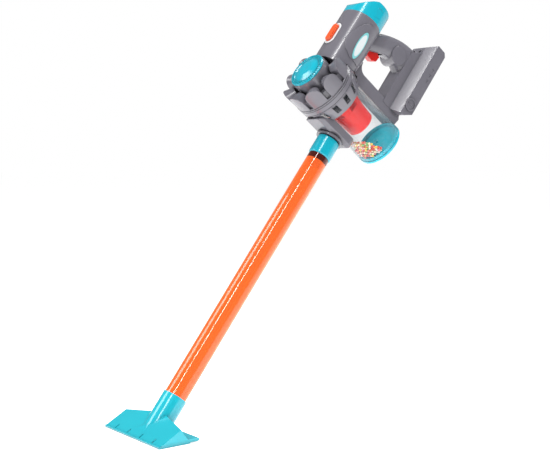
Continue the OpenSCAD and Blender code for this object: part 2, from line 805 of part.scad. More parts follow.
// Nub on the foot's sloping back, and shallow arrows on the foot's sides
module latch_nub(side) {
    translate([side * nub_set, foot_y + foot_l * nub_share[0], foot_top_z - foot_d * nub_share[1]])
        cylinder(r = nub_r, h = nub_h);
}

module foot_marks(side) {
    for (s = mark_shares) translate([side * foot_w / 2, foot_y + foot_l * s[0], foot_top_z - foot_d * s[1]])
        across(2 * mark_d) polygon([[0, 0], [mark_l, mark_h / 2], [mark_l, -mark_h / 2]]);
}

// One side of the housing: the outer skin first, then the hollows, the bosses and the cut-outs
module half(side) {
    reach = crown_r + barrel_r;
    difference() {
        union() {
            difference() {
                intersection() {
                    union() {
                        barrel_outer();
                        strut_outer();
                        grip_sweep(0);
                        foot_body(0);
                        grip_pad();
                    }
                    translate([side > 0 ? 0 : -reach, 0, foot_floor_z - overrun])
                        cube([reach, foot_y + foot_l + reach, barrel_z + barrel_r + reach - foot_floor_z]);
                }
                barrel_inner();
                grip_sweep(shell);
                foot_body(shell);
                trigger_slot();
            }
            latch_nub(side);
            screw_bosses(side);
            pin_boss(side);
            switch_rib(side);
        }
        cyclone_room();
        button_slot();
        plate(side, fit);
        door_opening();
        foot_marks(side);
        pin_hole();
        screw_holes();
        base_ear_room();
        translate([0, barrel_end, barrel_z]) along_y() cylinder(r = barrel_r + fit, h = cap_len);
    }
}

// Barrel with a raised panel on each side, swept along its upper edge
module barrel_outer() {
    translate([0, barrel_nose, barrel_z]) along_y() cylinder(r = barrel_r, h = barrel_end - barrel_nose);
    intersection() {
        translate([0, cyc_y, barrel_z]) along_y() cylinder(r = barrel_r + panel_t, h = barrel_back + overrun);
        across(2 * crown_r) translate([cyc_y, barrel_z])
            polygon([for (s = panel_shares) [s[0] * barrel_back, s[1] * barrel_r]]);
    }
}

module barrel_inner() {
    difference() {
        translate([0, barrel_nose + shell, barrel_z]) along_y()
            cylinder(r = barrel_r - shell, h = barrel_end - barrel_nose);
        translate([0, cyc_y, 0]) cylinder(r = crown_r + fit + shell, h = crown_z + ring_h + fit + shell);
    }
}

// Room for the crown, the band and the bin
module cyclone_room() {
    translate([0, cyc_y, crown_z - band_h - fit]) cylinder(r = crown_r + fit, h = band_h + ring_h + 2 * fit);
    translate([0, bin_y, bin_foot_z - base_rim - overrun])
        cylinder(r = bin_foot_r + fit, h = bin_len + base_rim + overrun);
}

module strut_outer() {
    corner = [strut_y + loop_round, barrel_z - barrel_r - loop_round];
    across(strut_w) polygon(concat(
        [[strut_y, corner[1]], [strut_y, bin_foot_z + hook_l / 3],
        [strut_y - hook_t, bin_foot_z - hook_l / 6], [cyc_y, strut_foot_z], [cyc_y, barrel_z],
        [corner[0], barrel_z]],
        [for (k = [0 : loop_steps - 1]) let (a = 90 * k / loop_steps)
            corner + loop_round * [-sin(a), cos(a)]]));
}

// Round pad on both sides of the handle
module grip_pad() {
    translate([-grip_w / 2 - pad_t, grip_y + grip_run * pad_share[0], grip_top_z - grip_drop * pad_share[1]])
        along_x() cylinder(r = pad_r, h = grip_w + 2 * pad_t);
}

module body_left() {
    color(grey) on_unit() half(-1);
}

module body_right() {
    color(grey) on_unit() half(1);
}

// Bare oval plate on one side of the barrel, grown by a gap for its seat
module plate(side, gap) {
    deep = barrel_r + panel_t - plate_sink;
    intersection() {
        translate([0, button_y, barrel_z]) difference() {
            along_y() translate([0, 0, -plate_l]) cylinder(r = deep + plate_t + gap, h = 2 * plate_l);
            along_y() translate([0, 0, -plate_l - overrun])
                cylinder(r = deep - gap, h = 2 * plate_l + 2 * overrun);
        }
        translate([side > 0 ? 0 : -2 * barrel_r, button_y, barrel_z]) along_x() rotate(90)
            linear_extrude(2 * barrel_r) polygon([for (a = [0 : 10 : 359])
                [(plate_l / 2 + gap) * cos(a), (plate_w / 2 + gap) * sin(a)]]);
    }
}

module side_plates() {
    color("white") on_unit() {
        plate(-1, 0);
        plate(1, 0);
    }
}

module rear_cap() {
    color(cyan) on_unit() translate([0, barrel_end, barrel_z]) {
        difference() {
            cap_form(0);
            cap_form(shell);
            along_y() translate([0, 0, -cap_len]) cylinder(r = 2 * barrel_r, h = cap_len);
            for (side = [-1, 1]) translate([side * (barrel_r - cap_mark_d), cap_len / 2, 0])
                along_x() translate([0, 0, side > 0 ? 0 : -shell]) cylinder(r = cap_mark_r, h = shell);
        }
        along_y() ring(barrel_r - shell - run_gap, barrel_r - 2 * shell, -cap_lap, shell);
        along_y() ring(barrel_r - shell + sliver, barrel_r - 2 * shell, 0, shell);
        along_y() ring(barrel_r - 2 * shell + sliver, speaker_r + run_gap, -cap_lap, -cap_lap + shell);
    }
}

// Cap's outside, with its top falling away in a curve, drawn in by an inset
module cap_form(inset) {
    intersection() {
        along_y() translate([0, 0, -overrun]) cylinder(r = barrel_r - inset, h = cap_len + 2 * overrun);
        across(4 * barrel_r) translate([-inset, -cap_inset_share * inset])
            polygon([for (s = cap_shares) [s[0] * cap_len, s[1] * barrel_r]]);
    }
}

// Pale frame around the power button, curved like the barrel
module button_bezel() {
    color("white") on_unit() translate([0, button_y, barrel_z]) intersection() {
        along_y() ring(barrel_r + bezel_t, barrel_r, -button_l, button_l);
        difference() {
            oblong(button_l + 2 * bezel_w, button_w + 2 * bezel_w, 2 * barrel_r);
            translate([0, 0, -overrun])
                oblong(button_l + 2 * fit, button_w + 2 * fit, 2 * barrel_r + 2 * overrun);
        }
    }
}

// Power button and trigger

module button_slot() {
    translate([0, button_y, barrel_z]) oblong(button_l + 2 * fit, button_w + 2 * fit, 2 * barrel_r);
}

module power_button() {
    top = barrel_z + barrel_r + button_proud;
    seat = barrel_z + sqrt(pow(barrel_r - shell, 2) - pow(button_w / 2 + button_flange, 2)) - fit;
    color(orange) on_unit() translate([0, button_y, 0]) {
        translate([0, 0, seat - button_t]) oblong(button_l, button_w, top - rim_round - seat + button_t);
        translate([0, 0, top - rim_round]) oblong(button_l - rim_round, button_w - rim_round, rim_round);
        translate([0, 0, seat - button_t])
            oblong(button_l + 2 * button_flange, button_w + 2 * button_flange, button_t);
        translate([0, 0, board_z + switch_w + button_throw + fit])
            cylinder(r = stem_r, h = seat - board_z - switch_w - button_throw - fit);
    }
}

module button_switch() {
    color("black") on_unit() translate([-switch_w / 2, button_y - switch_w / 2, board_z]) {
        cube([switch_w, switch_w, switch_body]);
        translate([switch_w / 2, switch_w / 2, 0]) cylinder(r = switch_knob_r, h = switch_w);
    }
}

module sound_board() {
    chord = 2 * sqrt(pow(barrel_r - shell - fit, 2) - pow(board_rise, 2));
    color("darkgreen") on_unit() translate([-chord / 2, button_y - board_l / 2, board_z - board_t])
        cube([chord, board_l, board_t]);
}

module speaker() {
    color("dimgray") on_unit() translate([0, barrel_end - cap_lap - speaker_t / 2, barrel_z]) along_y() {
        cylinder(r = speaker_r, h = speaker_t);
        translate([0, 0, -speaker_t / 2]) cylinder(r = speaker_r / 2, h = speaker_t / 2 + sliver);
    }
}

module trigger() {
    color(red) on_unit() difference() {
        across(trigger_w) {
            translate([trigger_y, trigger_z])
                polygon([for (s = trigger_shares) [s[0] * trigger_reach, -s[1] * trigger_drop]]);
            translate([trigger_y, trigger_z]) circle(trigger_eye_r);
        }
        translate([-trigger_w, trigger_y, trigger_z]) along_x()
            cylinder(r = trigger_pin_r + run_gap, h = 2 * trigger_w);
    }
}

// Slot in the handle that the trigger swings in
module trigger_slot() {
    across(trigger_w + 4 * fit) translate([trigger_y - trigger_reach, trigger_z - trigger_drop - 2 * overrun])
        square([slot_share * trigger_reach, trigger_drop + 2 * trigger_eye_r + 2 * overrun]);
}

module trigger_pin() {
    color(steel) on_unit() translate([-trigger_w, trigger_y, trigger_z]) along_x()
        cylinder(r = trigger_pin_r, h = 2 * trigger_w);
}

// Boss on the barrel's wall that holds one end of the trigger's pin
module pin_boss(side) {
    reach = pin_boss_reach - trigger_w / 2 - 2 * fit;
    translate([side * (trigger_w / 2 + 2 * fit), trigger_y, trigger_z]) along_x()
        translate([0, 0, side > 0 ? 0 : -reach]) cylinder(r = pin_boss_r, h = reach);
}

module pin_hole() {
    translate([-trigger_w - fit, trigger_y, trigger_z]) along_x()
        cylinder(r = trigger_pin_r + run_gap, h = 2 * trigger_w + 2 * fit);
}

// Micro switch behind the trigger, and the rib in the handle that carries it
module trigger_switch() {
    color("black") on_unit() translate([-switch_w / 2, switch_y, switch_z])
        cube([switch_w, switch_w, 2 * switch_w]);
}

module switch_rib(side) {
    reach = (grip_w - shell) / 2;
    translate([side < 0 ? -reach : 0, switch_y + switch_w + run_gap, switch_z - run_gap])
        cube([reach, shell, 2 * switch_w]);
}

// Battery foot's contents

module battery_door() {
    color(grey) on_unit() translate([0, door_y + door_l / 2, foot_floor_z]) difference() {
        linear_extrude(door_t) round_rect(door_w, door_l, rim_round * 2);
        translate([0, door_l / 2 - screw_head_r * 2, -overrun])
            cylinder(r = screw_r + run_gap, h = door_t + 2 * overrun);
    }
}

module door_opening() {
    translate([0, door_y + door_l / 2, foot_floor_z - overrun]) linear_extrude(shell + 2 * overrun)
        round_rect(door_w + 2 * fit, door_l + 2 * fit, rim_round * 2 + fit);
}

module door_screw() {
    color(steel) on_unit() translate([0, door_y + door_l - screw_head_r * 2, foot_floor_z]) {
        translate([0, 0, -screw_head / 2]) cylinder(r = screw_head_r, h = screw_head / 2);
        cylinder(r = screw_r, h = door_t + screw_web * 2);
    }
}

module battery_cells() {
    color("goldenrod") on_unit() for (k = [0 : cell_count - 1])
        translate([(k - (cell_count - 1) / 2) * cell_pitch, cell_y, cell_z]) along_y() {
            cylinder(r = cell_r, h = cell_l - cell_nub);
            translate([0, 0, cell_l - cell_nub]) cylinder(r = cell_nub_r, h = cell_nub);
        }
}

module battery_tray() {
    start = cell_y - contact_l - contact_t - tray_wall;
    inside = tray_end - start - 2 * tray_wall;
    color("dimgray") on_unit() difference() {
        translate([-tray_half, start, tray_low])
            cube([2 * tray_half, inside + 2 * tray_wall, 2 * cell_r + fit + tray_wall]);
        translate([-tray_half + tray_wall, start + tray_wall, tray_low - overrun])
            cube([2 * (tray_half - tray_wall), inside, 2 * cell_r + fit + overrun]);
    }
}

// A coil spring swept from rings of points
module coil(radius, wire, length, turns) {
    rings = turns * 8;
    points = [for (i = [0 : rings], k = [0 : contact_sides - 1]) let (
        turn = 360 * turns * i / rings,
        swing = 360 * k / contact_sides,
        out = radius + wire * cos(swing))
        [out * cos(turn), out * sin(turn), wire + (length - 2 * wire) * i / rings + wire * sin(swing)]];
    polyhedron(points, tube_faces(rings + 1, contact_sides), convexity = 6);
}

module contact_springs() {
    color(steel) on_unit() for (k = [0 : cell_count - 1])
        translate([(k - (cell_count - 1) / 2) * cell_pitch, cell_y - contact_l, cell_z]) along_y()
            coil(contact_r, contact_wire, contact_l, contact_turns);
}

module contact_plates() {
    half = cell_r * contact_share;
    color(steel) on_unit() for (k = [0 : cell_count - 1])
        translate([(k - (cell_count - 1) / 2) * cell_pitch - half, 0, cell_z - half])
            for (place = [cell_y - contact_l - contact_t, cell_y + cell_l])
                translate([0, place, 0]) cube([2 * half, contact_t, 2 * half]);
}

// Round caps on both sides of the foot's front end: a rim, a sunk face and a bar across it
module pivot_caps() {
    color(grey) on_unit() for (side = [-1, 1])
        translate([side * foot_w / 2, foot_y + foot_l * pivot_share[0], foot_top_z - foot_d * pivot_share[1]])
            mirror([side > 0 ? 0 : 1, 0, 0]) along_x() {
                difference() {
                    cylinder(r = pivot_r, h = pivot_t);
                    translate([0, 0, pivot_t / 2]) cylinder(r = pivot_r * pivot_dish_share, h = pivot_t);
                }
                translate([-pivot_r * pivot_slot_share, -pivot_slot / 2, pivot_t / 2 - sliver])
                    cube([2 * pivot_r * pivot_slot_share, pivot_slot, pivot_t / 3]);
            }
}

// Screws across the two halves, put in from the left
module at_screws() {
    for (place = screw_places) translate([0, place[0], place[1]]) mirror([1, 0, 0]) along_x() children();
}

module screw_bosses(side) {
    for (place = screw_places) translate([side < 0 ? -place[2] : 0, place[0], place[1]]) along_x()
        cylinder(r = screw_boss_r, h = place[2]);
}

module screw_holes() {
    at_screws() {
        translate([0, 0, -screw_l / 2]) cylinder(r = screw_r + run_gap, h = screw_l);
        translate([0, 0, screw_l / 2 - screw_head]) cylinder(r = screw_head_r + fit, h = 2 * foot_w);
    }
}

module body_screws() {
    color(steel) on_unit() at_screws() {
        translate([0, 0, -screw_l / 2 + fit]) cylinder(r = screw_r, h = screw_l - screw_head - fit);
        translate([0, 0, screw_l / 2 - screw_head]) cylinder(r = screw_head_r, h = screw_head);
    }
}

// Notch in the strut's hook for the base's ear and its pin
module base_ear_room() {
    translate([-ear_w / 2 - fit, cyc_y, ear_z - bin_foot_r])
        cube([ear_w + 2 * fit, ear_y - cyc_y + ear_r + fit, bin_foot_r + ear_r + fit]);
    translate([-strut_w / 2 + shell - fit, ear_y, ear_z]) along_x()
        cylinder(r = base_pin_r + run_gap, h = strut_w - 2 * shell + 2 * fit);
}

floor_head();
wand_tube();
wand_collar();
inlet_neck();
inlet_duct();
cyclone_crown();
crown_cap();
fan_motor();
fan();
bin_band();
clear_bin();
shroud();
beads();
bin_base();
base_pin();
body_left();
body_right();
rear_cap();
power_button();
button_bezel();
button_switch();
sound_board();
speaker();
trigger();
trigger_pin();
trigger_switch();
side_plates();
battery_tray();
battery_cells();
contact_springs();
contact_plates();
battery_door();
door_screw();
pivot_caps();
body_screws();
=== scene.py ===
# %% [markdown]
# # A toy stick vacuum cleaner
# The toy stands as a child would push it: a wedge-shaped floor head, a tinted see-through wand, and a
# hand unit with a cyclone crown, a clear bin of beads, a motor barrel, a looped handle and a battery foot.
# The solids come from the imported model. This lesson gives every piece its finish, and remakes the few
# pieces whose softness or colouring the solids can't carry.

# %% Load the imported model
import math
import random

import bpy
from mathutils import Matrix, Vector


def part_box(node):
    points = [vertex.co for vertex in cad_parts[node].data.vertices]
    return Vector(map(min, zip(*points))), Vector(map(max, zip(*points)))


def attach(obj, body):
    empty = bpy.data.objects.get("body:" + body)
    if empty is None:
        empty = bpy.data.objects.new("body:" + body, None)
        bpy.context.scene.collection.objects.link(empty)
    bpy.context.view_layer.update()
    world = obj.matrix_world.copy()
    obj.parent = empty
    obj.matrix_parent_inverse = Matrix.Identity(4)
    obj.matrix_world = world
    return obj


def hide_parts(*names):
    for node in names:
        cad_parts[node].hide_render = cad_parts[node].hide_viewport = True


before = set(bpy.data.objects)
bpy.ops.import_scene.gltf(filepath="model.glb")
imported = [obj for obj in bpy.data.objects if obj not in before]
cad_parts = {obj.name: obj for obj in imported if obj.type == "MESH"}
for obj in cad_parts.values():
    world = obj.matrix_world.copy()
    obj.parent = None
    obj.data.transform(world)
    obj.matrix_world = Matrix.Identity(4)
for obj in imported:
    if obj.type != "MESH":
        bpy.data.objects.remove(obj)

bpy.ops.object.select_all(action="DESELECT")
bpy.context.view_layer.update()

# %% [markdown]
# ## Camera
# The photograph was taken from the toy's right front, a little above the height of the hand unit, with a
# longish lens. The three directions below are the camera's right, up and back, solved from the wand, the
# floor and the round rims, so the render lines up with the photograph.

# %% Camera at the photograph's place
lens_data = bpy.data.cameras.new("photo_camera")
lens_data.sensor_width = 36
lens_data.lens = 70.6
photo_camera = bpy.data.objects.new("photo_camera", lens_data)
bpy.context.scene.collection.objects.link(photo_camera)
back = Vector((0.800, -0.596, 0.067)).normalized()
right = Vector((-0.051, 0.045, 0.998)).cross(back).normalized()
turn = Matrix((right, back.cross(right), back)).transposed()
photo_camera.matrix_world = Matrix.Translation((1.170, -0.677, 0.354)) @ turn.to_4x4()
bpy.context.scene.camera = photo_camera
print("camera at", [round(v, 3) for v in photo_camera.location])

# %% [markdown]
# ## Colours and nodes
# Colours are read off as the familiar hex codes, and the shader wants linear light, so one function
# converts them. A second small function adds a shader node, sets it and links it in one line. The wand
# leans 52 degrees from the floor, and two directions follow from that: along it and square to it.

# %% Helpers for materials
def paint(code):
    """Linear RGBA of an sRGB hex colour."""
    channels = [int(code[i:i + 2], 16) / 255 for i in (1, 3, 5)]
    return tuple(c / 12.92 if c <= 0.04045 else ((c + 0.055) / 1.055) ** 2.4 for c in channels) + (1.0,)


def add_node(material, kind, settings=None, values=None, links=None):
    """Adds a node with its settings, its socket values, and links as socket: (node, output)."""
    node = material.node_tree.nodes.new(kind)
    for name, value in (settings or {}).items():
        setattr(node, name, value)
    for socket, value in (values or {}).items():
        node.inputs[socket].default_value = value
    for socket, (source, output) in (links or {}).items():
        material.node_tree.links.new(source.outputs[output], node.inputs[socket])
    return node


def new_finish(name):
    """An empty node material and its shader, ready to be fed."""
    material = bpy.data.materials.new(name)
    material.use_nodes = True
    return material, material.node_tree.nodes["Principled BSDF"]


def along(material, direction):
    """A node that gives how far a point lies along a direction, in metres."""
    place = add_node(material, "ShaderNodeTexCoord")
    return add_node(material, "ShaderNodeVectorMath", {"operation": "DOT_PRODUCT"}, {1: direction},
                    {0: (place, "Object")})


def lowest(node, direction):
    """Where a solid starts along a direction, in metres."""
    return min(corner.co.dot(direction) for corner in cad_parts[node].data.vertices)


lean = math.radians(52)
along_wand = Vector((0, math.cos(lean), math.sin(lean)))
across_wand = Vector((0, -math.sin(lean), math.cos(lean)))
print("the wand leans", round(math.degrees(lean)), "degrees")

# %% [markdown]
# ## Moulded plastics
# Nearly all of the toy is ABS, moulded in solid colours. A mould leaves a faint texture in the skin, and
# the colour and the shine wander a little where the plastic flowed. The texture on the real part is about
# a tenth of a millimetre, too fine for the render, so it is drawn at half a millimetre. No moulded edge is
# quite sharp, so a bevel in the shading rounds each one by about half a millimetre and lets it catch light.
# Creases a few millimetres deep are darkened with painted shade. Three cyans are mixed: the floor head looks
# paler in the photograph than the other trim, from the light that its front panel catches, so it is painted a
# paler cyan as painted sheen, and the dish under the bin has no painted shade in its creases.

# %% Moulded ABS in any colour
def moulded_abs(name, code, deep_code, shine, texture=0.05, texture_mm=0.5, flow_mm=35.0, crease_shade_mm=7.0):
    """ABS straight from the mould: flow marks in colour and shine, and a fine skin texture."""
    material, shader = new_finish(name)
    place = add_node(material, "ShaderNodeTexCoord")
    flow = add_node(material, "ShaderNodeTexNoise", values={"Scale": 1000 / flow_mm, "Detail": 3.0},
                    links={"Vector": (place, "Object")})
    tone = add_node(material, "ShaderNodeMix", {"data_type": "RGBA"},
                    {"A": paint(code), "B": paint(deep_code)}, {"Factor": (flow, "Fac")})
    gloss = add_node(material, "ShaderNodeMapRange", values={"To Min": shine - 0.02, "To Max": shine + 0.03},
                     links={"Value": (flow, "Fac")})
    skin = add_node(material, "ShaderNodeTexNoise", values={"Scale": 1000 / texture_mm, "Detail": 2.0},
                    links={"Vector": (place, "Object")})
    edge = add_node(material, "ShaderNodeBevel", {"samples": 6}, {"Radius": 0.0006})
    bump = add_node(material, "ShaderNodeBump", values={"Strength": texture, "Distance": 0.0002},
                    links={"Height": (skin, "Fac"), "Normal": (edge, "Normal")})
    # Painted shade: creases a few millimetres deep are darkened in the base colour.
    crease_painted_shade = add_node(material, "ShaderNodeAmbientOcclusion", {"samples": 6}, {"Distance": crease_shade_mm / 1000},
                      {"Color": (tone, "Result")})
    for socket, (source, output) in {"Base Color": (crease_painted_shade, "Color"), "Roughness": (gloss, "Result"),
                                     "Normal": (bump, "Normal")}.items():
        material.node_tree.links.new(source.outputs[output], shader.inputs[socket])
    shader.inputs["IOR"].default_value = 1.53
    shader.inputs["Coat Weight"].default_value = 0.35
    shader.inputs["Coat Roughness"].default_value = 0.12
    return material


grey_abs = moulded_abs("satin_grey_abs", "#706e76", "#64626b", 0.25, texture=0.06)
cyan_abs = moulded_abs("gloss_cyan_abs", "#00adc2", "#00a3b8", 0.2)
# Painted sheen: the floor head is a paler cyan for the light that its front panel catches.
head_abs_painted_sheen = moulded_abs("gloss_cyan_abs_painted_sheen", "#16bfd0", "#10b4c6", 0.2)
dish_abs = moulded_abs("gloss_cyan_dish_abs", "#00bcd0", "#00b2c6", 0.2, crease_shade_mm=0.05)
red_abs = moulded_abs("gloss_red_abs", "#e21006", "#cc0c04", 0.2)
orange_abs = moulded_abs("gloss_orange_abs", "#fb5a22", "#ee501a", 0.22)
white_abs = moulded_abs("gloss_white_abs", "#eef1f2", "#e2e6e8", 0.2)
black_abs = moulded_abs("matte_black_abs", "#1b1b1e", "#141416", 0.5, texture=0.1)
print("eight plastics mixed")

# %% [markdown]
# ## See-through plastics
# The wand is extruded from tinted clear polystyrene and the bin is moulded from clear polystyrene. Light goes
# through the wand's two walls, so its tint is half as deep as the colour that the eye sees. The bin's wall is
# thin and hardly bends light, so it is set as a nearly see-through skin that keeps its gloss, with a grey
# rim where it is seen edge-on as painted reflection, and it casts no shadow, which lets the light in to the
# dish and the beads. Slow ripples in the surface catch the light as on the real one.

# %% Clear and tinted polystyrene
def clear_styrene(name, code, clearness, shine, ripple_mm, ripple, cover=1.0):
    """Transparent polystyrene with slow ripples; cover is the share of its skin that hides what is behind."""
    material, shader = new_finish(name)
    place = add_node(material, "ShaderNodeTexCoord")
    wave = add_node(material, "ShaderNodeTexNoise", values={"Scale": 1000 / ripple_mm, "Detail": 1.0},
                    links={"Vector": (place, "Object")})
    bump = add_node(material, "ShaderNodeBump", values={"Strength": ripple, "Distance": 0.001},
                    links={"Height": (wave, "Fac")})
    material.node_tree.links.new(bump.outputs["Normal"], shader.inputs["Normal"])
    shader.inputs["Base Color"].default_value = paint(code)
    shader.inputs["Transmission Weight"].default_value = clearness
    shader.inputs["Roughness"].default_value = shine
    shader.inputs["IOR"].default_value = 1.59
    shader.inputs["Alpha"].default_value = cover
    if cover < 1:
        # Painted reflection: seen edge-on, the skin turns grey and hides more of what is behind.
        slope = add_node(material, "ShaderNodeLayerWeight", values={"Blend": 0.27})
        rim_painted_reflection = add_node(material, "ShaderNodeMapRange", values={"To Min": cover, "To Max": 0.55},
                       links={"Value": (slope, "Facing")})
        material.node_tree.links.new(rim_painted_reflection.outputs["Result"], shader.inputs["Alpha"])
    return material


wand_styrene = clear_styrene("tinted_orange_styrene", "#ff8640", 0.72, 0.05, 60.0, 0.003)
bin_styrene = clear_styrene("clear_bin_styrene", "#84949c", 0.0, 0.04, 40.0, 0.02, cover=0.02)
shroud_styrene = clear_styrene("tinted_red_styrene", "#e41204", 0.1, 0.15, 30.0, 0.02)
print("three see-through plastics mixed")

# %% [markdown]
# ## Shroud
# The shroud is red where it shows in the bin. What lies behind the slots of the band can't be seen in the
# photograph, only that it reads dark, so the outside of the shroud's upper rim is painted dark grey there:
# painted shade behind the slots.
# The red plastic lets light through, so a slight painted glow keeps its inside from going black.

# %% Painted shade on the rim and painted glow of the shroud
band_low = lowest("bin_band", across_wand)
shroud_height = along(shroud_styrene, across_wand)
behind_band = add_node(shroud_styrene, "ShaderNodeMapRange",
                       values={"From Min": band_low - 0.004, "From Max": band_low - 0.003},
                       links={"Value": (shroud_height, "Value")})
shroud_low, shroud_high = (Vector(corner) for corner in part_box("shroud"))
shroud_skin = add_node(shroud_styrene, "ShaderNodeTexCoord")
from_middle = add_node(shroud_styrene, "ShaderNodeVectorMath", {"operation": "SUBTRACT"},
                       {1: (shroud_low + shroud_high) / 2}, {0: (shroud_skin, "Object")})
outward = add_node(shroud_styrene, "ShaderNodeVectorMath", {"operation": "DOT_PRODUCT"},
                   links={0: (shroud_skin, "Normal"), 1: (from_middle, "Vector")})
outside = add_node(shroud_styrene, "ShaderNodeMath", {"operation": "GREATER_THAN"}, {1: 0.0},
                   {0: (outward, "Value")})
# Painted shade: dark grey on the outside of the rim behind the band's slots.
slot_shade_mask = add_node(shroud_styrene, "ShaderNodeMath", {"operation": "MULTIPLY"},
                    links={0: (behind_band, "Result"), 1: (outside, "Value")})
shroud_red_and_shade = add_node(shroud_styrene, "ShaderNodeMix", {"data_type": "RGBA"},
                       {"A": paint("#e41204"), "B": paint("#4a484f")}, {"Factor": (slot_shade_mask, "Value")})
# Painted glow: the shroud gives off a little red light, cut where the shade is painted.
shroud_painted_glow = add_node(shroud_styrene, "ShaderNodeMapRange", values={"To Min": 0.15, "To Max": 0.0},
                       links={"Value": (slot_shade_mask, "Value")})
shroud_shader = shroud_styrene.node_tree.nodes["Principled BSDF"]
shroud_styrene.node_tree.links.new(shroud_red_and_shade.outputs["Result"], shroud_shader.inputs["Base Color"])
shroud_styrene.node_tree.links.new(shroud_painted_glow.outputs["Result"], shroud_shader.inputs["Emission Strength"])
shroud_shader.inputs["Emission Color"].default_value = paint("#e01004")
shroud_shader.inputs["Specular IOR Level"].default_value = 0.25
print("band starts", round(band_low * 1000, 1), "mm along the bin's axis")

# %% [markdown]
# ## Light in the wand
# Tinted polystyrene gathers light and gives some of it back at its surface, so the wand looks brighter than
# a painted tube; a painted glow stands in for that light. Where the collar's plug fills its upper end no
# light comes through, so there the wand is painted dark brown as painted shade. Both follow from the place
# along the wand.

# %% Painted glow of the wand and painted shade over the plug in its end
plug_low = lowest("wand_collar", along_wand)
wand_shader = wand_styrene.node_tree.nodes["Principled BSDF"]
wand_height = along(wand_styrene, along_wand)
# Painted shade: the wand turns dark brown over the collar's plug.
plug_shade_mask = add_node(wand_styrene, "ShaderNodeMapRange",
                     values={"From Min": plug_low + 0.003, "From Max": plug_low + 0.0036},
                     links={"Value": (wand_height, "Value")})
wand_orange_and_shade = add_node(wand_styrene, "ShaderNodeMix", {"data_type": "RGBA"},
                     {"A": paint("#ff8640"), "B": paint("#7c2208")}, {"Factor": (plug_shade_mask, "Result")})
# Painted glow of the wand, cut over the plug.
wand_painted_glow = add_node(wand_styrene, "ShaderNodeMapRange", values={"To Min": 0.22, "To Max": 0.0},
                     links={"Value": (plug_shade_mask, "Result")})
wand_styrene.node_tree.links.new(wand_orange_and_shade.outputs["Result"], wand_shader.inputs["Base Color"])
wand_styrene.node_tree.links.new(wand_painted_glow.outputs["Result"], wand_shader.inputs["Emission Strength"])
wand_shader.inputs["Emission Color"].default_value = paint("#ff6a1c")
print("plug starts", round(plug_low * 1000, 1), "mm up the wand")

# %% [markdown]
# ## Metals and inner parts
# Screws, pins, motor can and contacts are plated steel. The cells have a printed wrap, left plain here, and
# the sound board is green laminate. These are hardly seen, but each gets the finish of the real thing.

# %% Plated steel, cell wrap and board laminate
def plated_steel(name, code, scratch_mm):
    """Zinc-plated steel with fine brush marks in its shine."""
    material, shader = new_finish(name)
    place = add_node(material, "ShaderNodeTexCoord")
    marks = add_node(material, "ShaderNodeTexNoise", values={"Scale": 1000 / scratch_mm, "Detail": 4.0},
                     links={"Vector": (place, "Object")})
    gloss = add_node(material, "ShaderNodeMapRange", values={"To Min": 0.25, "To Max": 0.42},
                     links={"Value": (marks, "Fac")})
    material.node_tree.links.new(gloss.outputs["Result"], shader.inputs["Roughness"])
    shader.inputs["Base Color"].default_value = paint(code)
    shader.inputs["Metallic"].default_value = 1.0
    return material


plated = plated_steel("zinc_plated_steel", "#c3c6cb", 1.5)
cell_wrap = moulded_abs("cell_wrap_film", "#a5802a", "#8f6c20", 0.25)
laminate = moulded_abs("green_board_laminate", "#1f6b34", "#185628", 0.3, texture_mm=1.2, texture=0.2)
print("inner finishes mixed")

# %% [markdown]
# ## Side plates
# The oval plates are white with a pale teal border, printed on. The print is left plain: only the border is
# drawn, as a ring of colour. Its place is worked out on the plate itself: how far a point lies from the
# plate's middle along the barrel and across it, each as a share of the plate's half-length and half-width.

# %% White plate with a teal border
plate_low, plate_high = (Vector(corner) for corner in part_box("side_plates"))
plate_middle = (plate_low + plate_high) / 2


def bordered_plate(name, half_length_mm, half_width_mm, border):
    """Gloss white with a border ring that starts at a share of the oval's radius."""
    material, shader = new_finish(name)
    place = add_node(material, "ShaderNodeTexCoord")
    shift = add_node(material, "ShaderNodeVectorMath", {"operation": "SUBTRACT"}, {1: plate_middle},
                     {0: (place, "Object")})
    shares = [add_node(material, "ShaderNodeVectorMath", {"operation": "DOT_PRODUCT"},
                       {1: direction * (1000 / half)}, {0: (shift, "Vector")})
              for direction, half in ((along_wand, half_length_mm), (across_wand, half_width_mm))]
    both = add_node(material, "ShaderNodeCombineXYZ",
                    links={"X": (shares[0], "Value"), "Y": (shares[1], "Value")})
    radius = add_node(material, "ShaderNodeVectorMath", {"operation": "LENGTH"}, links={0: (both, "Vector")})
    ring = add_node(material, "ShaderNodeMapRange",
                    values={"From Min": border - 0.03, "From Max": border + 0.03},
                    links={"Value": (radius, "Value")})
    tone = add_node(material, "ShaderNodeMix", {"data_type": "RGBA"},
                    {"A": paint("#d3dadc"), "B": paint("#7cc3c6")}, {"Factor": (ring, "Result")})
    material.node_tree.links.new(tone.outputs["Result"], shader.inputs["Base Color"])
    shader.inputs["Roughness"].default_value = 0.22
    return material


plate_print = bordered_plate("printed_white_styrene", 23.0, 6.75, 0.8)
print("plates centred on", [round(v, 4) for v in plate_middle])

# %% [markdown]
# ## Beads
# The bin holds a heap of small foam beads in mixed colours. The solids give each bead's place. One bead is
# modelled: a small ball with a dimple where it left its mould. It is copied to every place, turned and
# pressed a little by a seeded draw, and each copy carries its own colour, which the finish reads.

# %% Copy a solid, and find the separate solids of a node
def merged_copy(node, name, gap_mm):
    """A copy of a solid with its doubled corners merged, left active in edit mode with all selected."""
    bpy.ops.object.select_all(action="DESELECT")
    copy = bpy.data.objects.new(name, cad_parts[node].data.copy())
    bpy.context.scene.collection.objects.link(copy)
    bpy.context.view_layer.objects.active = copy
    copy.select_set(True)
    bpy.ops.object.mode_set(mode="EDIT")
    bpy.ops.mesh.select_all(action="SELECT")
    bpy.ops.mesh.remove_doubles(threshold=gap_mm / 1000)
    return copy


